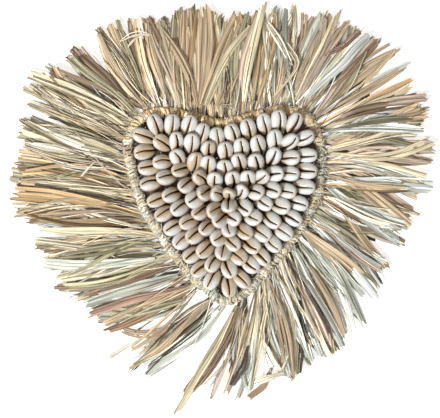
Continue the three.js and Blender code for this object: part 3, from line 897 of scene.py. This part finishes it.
# The share of the border that each strand's root is nearest to.
shares = np.linspace(0, 1, SHARE_STEPS, endpoint=False)
seen_roots = from_picture([places[0] for _, _, _, places in SEEN_STRANDS])
seen_shares = shares[np.linalg.norm(seen_roots[:, None] - on_loop(rim_loop, shares), axis=-1).argmin(axis=1)]

tuft_nodes = sorted(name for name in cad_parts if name.startswith("raffia_tuft_"))
stretch_start = 0.0
for number, (stretch_end, density, mean_width, turn_aside, colours) in enumerate(FRINGE_STRETCHES):
    first_tuft, last_tuft = (round(share * len(tuft_nodes)) for share in (stretch_start, stretch_end))
    families = fringe_stretch(
        stretch_start, stretch_end, density, mean_width, turn_aside, colours, FRINGE_SEED + number)
    make_piece(f"raffia_fringe_{number + 1:02d}", families, raffia,
               tuft_nodes[first_tuft:last_tuft], smooth=False)
    stretch_start = stretch_end


# The cowries: small polished shells, mouth up, sewn on in rows that lap over each other like tiles towards
# the border. Each is an egg with a crooked toothed slit from end to end, white, with painted shade: brown
# low on the flanks, beige along the mouth and at the inner end, and near black in the slit.

# Each row's name and lean in degrees, and its shells' middles in millimetres, clockwise from the upper left.
SHELL_ROWS = [
    ("shell_row_1", 20, [
        [-50.5, 66], [-37.5, 65], [-24, 63.5], [-14.5, 56.5], [-2, 52.5], [10.5, 55], [23.5, 58.5],
        [36.5, 62], [48, 63.5], [60, 61.5], [67, 49], [68, 35.5], [67.5, 23], [65, 10.5], [59.5, -2],
        [54.5, -13.5], [46.5, -24], [37.5, -33], [28, -42.5], [19, -49], [11, -60], [1.5, -65.5],
        [-11.5, -59.5], [-20, -50.5], [-26, -39], [-33.5, -27], [-40, -16.5], [-46.5, -5], [-51.5, 6.5],
        [-56.5, 19.5], [-57, 32], [-60.5, 45], [-60, 57]]),
    ("shell_row_2", 34, [
        [-45.5, 51], [-34.5, 51], [-22.5, 49.5], [-10, 43], [4, 41.5], [17, 43.5], [30.5, 45], [44, 48.5],
        [55, 46.5], [55.5, 34], [54, 21.5], [51, 8], [45.5, -3.5], [38, -14.5], [29.5, -24.5], [20.5, -33.5],
        [10, -42], [2, -51], [-10, -46.5], [-15.5, -35], [-23, -23.5], [-27.5, -12.5], [-34, -1],
        [-40.5, 9.5], [-44, 23.5], [-46.5, 36]]),
    ("shell_row_3", 40, [
        [-34, 38.5], [-21, 34.5], [-10.5, 31], [3, 27.5], [14.5, 32], [28, 31], [42, 35.5], [42, 22],
        [39.5, 9.5], [32, -0.5], [23, -11.5], [15.5, -22.5], [5.5, -31], [-1.5, -37.5], [-4.5, -26.5],
        [-13, -18], [-18, -6], [-21.5, 5], [-28, 16.5], [-32, 29]]),
    ("shell_row_4", 50, [
        [-17, 21.5], [-5.5, 19], [9, 19], [21, 19], [31, 19.5], [26.5, 8], [17, -3.5], [7.5, -11.5],
        [3.5, -20], [-2.5, -12.5], [-7, -4.5], [-14, 9.5]]),
]
# The middle ones: place in millimetres, the way the outer end points and lean in degrees, width, tone.
CENTRE_SHELLS = [
    (-4.5, 8.5, 150, 64, 13.5, 0.7), (5.5, 8, 75, 78, 11.5, 1.0), (15, 9, 50, 62, 12.5, 0.4),
    (5, -1.5, -105, 58, 13, 0.5),
]
SHELL_LENGTH = 19.2 * MM
SHELL_WIDTH = 12.7 * MM
SHELL_DEPTH = 8.6 * MM
SHELL_RINGS = 46
SHELL_COLUMNS = 40
SHELL_TEETH = 12
SHELL_SEED = 5
UPPER_DEPTH = SHELL_DEPTH * 0.56
LOWER_DEPTH = SHELL_DEPTH * 0.44
VALLEY_DEPTH = 0.9 * MM
VALLEY_WIDTH = 1.7 * MM
SLIT_DEPTH = 2.6 * MM
# The dot that ends the slit: its place by v, and its size of 0.55 mm in 9.25 mm for each v.
DOT_PLACE = 0.84
DOT_REACH = 0.55 / 9.25
TOOTH_DEPTH = 0.16 * MM
TOOTH_WIDTH = 0.75 * MM
SHELL_WHITE = (0.66, 0.67, 0.655, 1)
SHELL_PEACH = (0.50, 0.385, 0.25, 1)
SHELL_BROWN = (0.38, 0.235, 0.13, 1)
# Painted shade: the slit is near black, for the dark inside the shell.
SLIT_SHADE = (0.026, 0.016, 0.010, 1)


def shell_finish():
    """Polished shell: white, with painted shade that is beige and warm, as if bounced off the raffia, along
    the mouth and towards the inner end, which lies under the next row; brown low on the flanks, painted
    shade round the outline; brown in the teeth; and near black in the slit, painted shade for the dark
    inside.
    A shell of a high tone is beige all over."""
    finish = Finish("polished shell")
    place = finish.node("ShaderNodeTexCoord", output="Object")
    cloud = finish.noise(place, 220.0, 2)
    tone = finish.mark("tone")
    along = finish.mark("along")
    flank = finish.mark("flank")
    # Painted shade, beige and warm as if bounced off the raffia: along the mouth and towards the inner end,
    # which lies under the next row.
    mouth_shade = finish.range(flank + (cloud - 0.5) * 0.2, 0.3, 0.08)
    inner = finish.range(along + (cloud - 0.5) * 0.3, 0.75, 0.05)
    whole = finish.range(tone, 0.5, 1.0)
    warm = finish.range(mouth_shade * (0.25 + tone * 0.55) + inner * (0.5 + tone * 0.6) + whole * 0.35, 0.0, 1.05)
    colour = finish.mix(warm, SHELL_WHITE, SHELL_PEACH)
    # Painted shade round the outline: brown low on the flanks.
    colour = finish.mix(finish.range(flank, 0.34, 0.56) * 0.75, colour, SHELL_BROWN)
    colour = finish.mix(finish.mark("teeth") * 0.35, colour, SHELL_BROWN)
    # Painted shade in the slit.
    slit = finish.range(finish.mark("slit"), 0.12, 0.6)
    colour = finish.mix(slit, colour, SLIT_SHADE)
    grain = finish.noise(place, 900.0, 2)
    return finish.surface(
        Base_Color=colour, Roughness=finish.range(cloud, 0.2, 0.8, 0.24, 0.38) + slit * 0.5,
        Coat_Weight=0.25, Coat_Roughness=0.12, Normal=finish.bump(grain, 0.12, 0.1 * MM))


def cowries(places, along, out, lean, width, tone, chance):
    """Shells by shell, ring and column. With v from -1 at the inner end to 1 at the outer one, a ring is an
    oval (1 - v^2) ^ 0.41 of the full width and depth, 12% wider at the outer end and flatter below. The
    mouth is a valley exp(-d) with a slit exp(-d^2), where d is the distance from a crooked line along the
    top over each one's width. The slit ends in a dot, and teeth cos(pi n v) stand beside it."""
    count = len(places)
    v = np.sin(np.linspace(-1, 1, SHELL_RINGS) * math.pi / 2 * 0.985)[None, :, None]
    column = np.linspace(-1, 1, SHELL_COLUMNS, endpoint=False)[None, None]
    spread = np.sign(column) * np.abs(column) ** 1.7 * math.pi

    def each(low, high):
        """A number at random for each shell."""
        return chance.uniform(low, high, (count, 1, 1))

    half_width = width[:, None, None] / 2
    full = np.sqrt(1 - v ** 2) ** 0.82
    swell = full * (1 + 0.12 * v)
    crook = half_width * (each(0.05, 0.22) + each(-0.1, 0.15) * np.sin(2.4 * v + each(0, 1.2)) - 0.08 * v)
    beside = np.arcsin(np.clip(crook / half_width, -0.9, 0.9)) * full
    angle = spread + beside
    x = half_width * swell * np.sin(angle)
    lift = np.cos(angle)
    upper = UPPER_DEPTH * full * np.maximum(lift, 0) ** 0.85
    lower = LOWER_DEPTH * full * np.maximum(-lift, 0) ** 0.8
    apart = x - half_width * swell * np.sin(beside)
    inward_share = (1 - v) / 2
    mouth_here = np.clip((0.9 - v) / 0.1, 0, 1) * (lift > 0)
    slit_half = (0.34 + 0.85 * inward_share ** 1.4) * MM * each(0.65, 1.3)
    dot = np.exp(-((v - DOT_PLACE) / DOT_REACH) ** 2)
    slit = np.exp(-(apart / (slit_half + 0.2 * MM * dot)) ** 2) * mouth_here
    valley = np.exp(-np.abs(apart) / VALLEY_WIDTH) * full * (lift > 0)
    teeth = 0.5 + 0.5 * np.cos(math.pi * SHELL_TEETH * (v + 0.1 * np.sign(apart)))
    teeth = teeth * np.exp(-((np.abs(apart) - MM) / TOOTH_WIDTH) ** 2) * mouth_here
    z = upper - lower - VALLEY_DEPTH * valley - SLIT_DEPTH * slit * full - TOOTH_DEPTH * teeth
    y = SHELL_LENGTH / 2 * v * each(0.95, 1.05)

    rise = np.radians(lean)[:, None]
    axis = at_height(out, 0) * np.cos(rise) + UP * np.sin(rise)
    side = at_height(along, 0)
    mouth = np.cross(side, axis)
    roll = chance.normal(0, 0.13, (count, 1))
    side, mouth = side * np.cos(roll) + mouth * np.sin(roll), mouth * np.cos(roll) - side * np.sin(roll)
    reach_down = np.hypot(SHELL_LENGTH * np.sin(rise), SHELL_DEPTH * 0.9 * np.cos(rise)) / 2
    seat = at_height(places, PANEL_THICKNESS + TOUCH_GAP + reach_down[:, 0])
    points = (seat[:, None, None] + x[..., None] * side[:, None, None]
              + y[..., None] * axis[:, None, None] + z[..., None] * mouth[:, None, None])
    return points, {"slit": slit, "teeth": teeth, "along": (1 + v) / 2,
                    "flank": np.abs(spread) / math.pi, "tone": tone[:, None, None]}


def shell_tones_and_painted_falloff(places, chance):
    """From 0, white, to 1, beige: 0.52 - 6 x - 3.5 y, give or take 0.2, so palest at the upper right. The
    slope is partly the shells' own colour and partly painted light falling off across the heart; the spread
    is each shell's own tone.
    """
    return np.clip(0.52 - (6 * places[:, 0] + 3.5 * places[:, 1]) + chance.normal(0, 0.2, len(places)), 0, 1)


shell = shell_finish()
chance = np.random.default_rng(SHELL_SEED)
for name, lean, row in SHELL_ROWS:
    places = MM * np.array(row) + PLAN_SHIFT
    count = len(places)
    along = unit(np.roll(places, -1, axis=0) - np.roll(places, 1, axis=0))
    along = turned(along, chance.normal(0, 0.07, count))
    out = np.stack([-along[:, 1], along[:, 0]], axis=-1)
    family = cowries(places, along, out, lean + chance.normal(0, 2.5, count),
                     SHELL_WIDTH * (1 + chance.normal(0, 0.045, count)), shell_tones_and_painted_falloff(places, chance), chance)
    make_piece("cowries_" + name.removeprefix("shell_"), [family], shell, [name])

x, y, heading, lean, width, tone = np.array(CENTRE_SHELLS).T
places = MM * np.stack([x, y], axis=-1) + PLAN_SHIFT
out = np.stack([np.cos(np.radians(heading)), np.sin(np.radians(heading))], axis=-1)
along = np.stack([out[:, 1], -out[:, 0]], axis=-1)
family = cowries(places, along, out, lean, width * MM, tone, chance)
make_piece("cowries_centre", [family], shell, ["shell_centre"])


# The studio: a white floor, and soft light that is strongest and coolest from the lower left.
FLOOR_SIZE = 3.0
FLOOR_WHITE = (0.8, 0.8, 0.8, 1)
FLOOR_GLOW = 0.57
SKY_WARM = (1.0, 0.96, 0.90, 1)
SKY_STRENGTH = 0.14
KEY_LIGHT = {"place": (-0.86, -0.72, 1.25), "size": 0.35, "energy": 37, "colour": (0.98, 0.99, 1.0)}
FILL_LIGHT = {"place": (0.3, 0.2, 1.7), "size": 1.2, "energy": 8, "colour": (1.0, 0.96, 0.90)}


def area_light(name, place, size, energy, colour):
    """A square lamp turned to the heart."""
    light = bpy.data.lights.new(name, "AREA")
    light.size = size
    light.energy = energy
    light.color = colour
    lamp = bpy.data.objects.new(name, light)
    lamp.location = place
    lamp.rotation_euler = (-Vector(place)).to_track_quat("-Z", "Y").to_euler()
    bpy.context.scene.collection.objects.link(lamp)


area_light("key", **KEY_LIGHT)
area_light("fill", **FILL_LIGHT)
sky = bpy.data.worlds.new("sky")
sky.use_nodes = True
sky.node_tree.nodes["Background"].inputs["Color"].default_value = SKY_WARM
sky.node_tree.nodes["Background"].inputs["Strength"].default_value = SKY_STRENGTH
bpy.context.scene.world = sky
bpy.context.scene.view_settings.view_transform = "Standard"

half = FLOOR_SIZE / 2
corners = [(-half, -half, 0), (half, -half, 0), (half, half, 0), (-half, half, 0)]
floor_mesh = bpy.data.meshes.new("floor")
floor_mesh.from_pydata(corners, [], [(0, 1, 2, 3)])
floor_finish = Finish("white floor")
floor_mesh.materials.append(floor_finish.surface(
    Base_Color=FLOOR_WHITE, Roughness=0.9, Emission_Color=(1, 1, 1, 1), Emission_Strength=FLOOR_GLOW))
floor = bpy.data.objects.new("floor", floor_mesh)
bpy.context.scene.collection.objects.link(floor)
